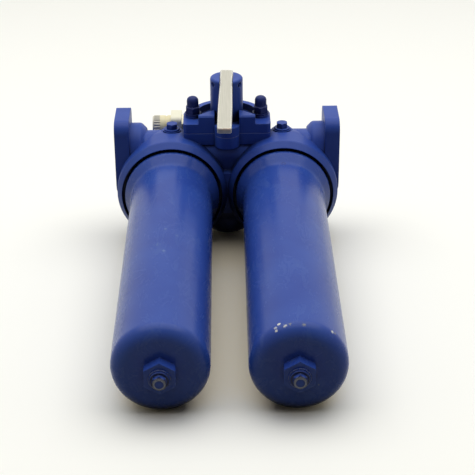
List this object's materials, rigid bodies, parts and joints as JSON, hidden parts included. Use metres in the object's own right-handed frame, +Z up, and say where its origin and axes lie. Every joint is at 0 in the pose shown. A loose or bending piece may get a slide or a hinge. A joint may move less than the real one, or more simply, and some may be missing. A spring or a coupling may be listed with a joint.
{
  "type": "duplex filter housing",
  "caption": "Duplex in-line oil filter housing: a change-over valve head with two long bowls, side flange ports, a slotted valve stem with a flat lever and a clogging indicator.",
  "frame": {"origin": "on the bench under the middle of the housing's outline, as it lies in the picture", "axes": "+X to the right port, +Y away from the bowl ends towards the back of the head, +Z up; the bowls lean 2.96 degrees down towards their ends"},
  "size_m": [0.284, 0.555, 0.2174],
  "materials": {
    "painted_casting": "glossy blue enamel over cast iron",
    "painted_bowl": "glossy blue enamel over steel",
    "painted_fastener": "blue enamel over steel screws",
    "painted_stem": "blue enamel over steel",
    "lever_steel": "bright drawn steel, lightly tarnished",
    "plain_steel": "machined steel",
    "spring_steel": "spring steel",
    "zinc_sheet": "zinc coated sheet",
    "gasket_sheet": "pale fibre sheet",
    "seal_rubber": "black nitrile rubber",
    "filter_paper": "pleated glass fibre mat",
    "indicator_metal": "yellow passivated steel",
    "indicator_plastic": "cream plastic",
    "indicator_ring": "yellow plastic",
    "indicator_grip": "grey ribbed plastic",
    "indicator_red": "red button"
  },
  "bodies": {
    "housing": {"cover_gasket": "gasket_sheet", "cover_nuts": "painted_fastener", "cover_studs": "plain_steel", "cover_washers": "painted_fastener", "filter_head": "painted_casting", "indicator_adapter": "indicator_metal", "indicator_barrel": "indicator_ring", "indicator_body": "indicator_plastic", "indicator_cap": "indicator_grip", "left_bowl": "painted_bowl", "left_bowl_seal": "seal_rubber", "left_bypass_cage": "zinc_sheet", "left_bypass_spring": "spring_steel", "left_drain_plug": "painted_fastener", "left_drain_washer": "painted_fastener", "left_element_closed_cap": "zinc_sheet", "left_element_core": "zinc_sheet", "left_element_open_cap": "zinc_sheet", "left_element_pleats": "filter_paper", "left_nozzle_seal": "seal_rubber", "left_vent_plug": "painted_fastener", "left_vent_washer": "painted_fastener", "right_bowl": "painted_bowl", "right_bowl_seal": "seal_rubber", "right_bypass_cage": "zinc_sheet", "right_bypass_spring": "spring_steel", "right_drain_plug": "painted_fastener", "right_drain_washer": "painted_fastener", "right_element_closed_cap": "zinc_sheet", "right_element_core": "zinc_sheet", "right_element_open_cap": "zinc_sheet", "right_element_pleats": "filter_paper", "right_nozzle_seal": "seal_rubber", "right_vent_plug": "painted_fastener", "right_vent_washer": "painted_fastener", "valve_cover": "painted_casting"},
    "changeover_valve": {"changeover_rotor": "plain_steel", "lever_pin": "plain_steel", "stem_seal": "seal_rubber", "stem_thrust_washer": "plain_steel", "valve_stem": "painted_stem"},
    "lever": {"lever_bar": "lever_steel"},
    "left_bypass": {"left_bypass_poppet": "zinc_sheet"},
    "right_bypass": {"right_bypass_poppet": "zinc_sheet"},
    "button": {"indicator_button": "indicator_red"}
  },
  "joints": [
    {"name": "changeover_turn", "type": "hinge", "parent": "housing", "child": "changeover_valve", "pos_m": [0, 0.21027, 0.16094], "axis": [0, -0.0516, 0.9987], "range_deg": [-90, 90]},
    {"name": "lever_lift", "type": "hinge", "parent": "changeover_valve", "child": "lever", "pos_m": [-0.00038, 0.19651, 0.20468], "axis": [-0.9995, 0.0331, 0.0017], "range_deg": [0, 45]},
    {"name": "left_bypass_lift", "type": "slide", "parent": "housing", "child": "left_bypass", "axis": [0, 0.9987, 0.0516], "range_m": [0, 0.005], "stiffness_N_per_m": 2000, "springref_m": -0.02, "deforming": ["left_bypass_spring"]},
    {"name": "right_bypass_lift", "type": "slide", "parent": "housing", "child": "right_bypass", "axis": [0, 0.9987, 0.0516], "range_m": [0, 0.005], "stiffness_N_per_m": 2000, "springref_m": -0.02, "deforming": ["right_bypass_spring"]},
    {"name": "indicator_pop", "type": "slide", "parent": "housing", "child": "button", "axis": [-1, 0, 0], "range_m": [0, 0.004]}
  ]
}
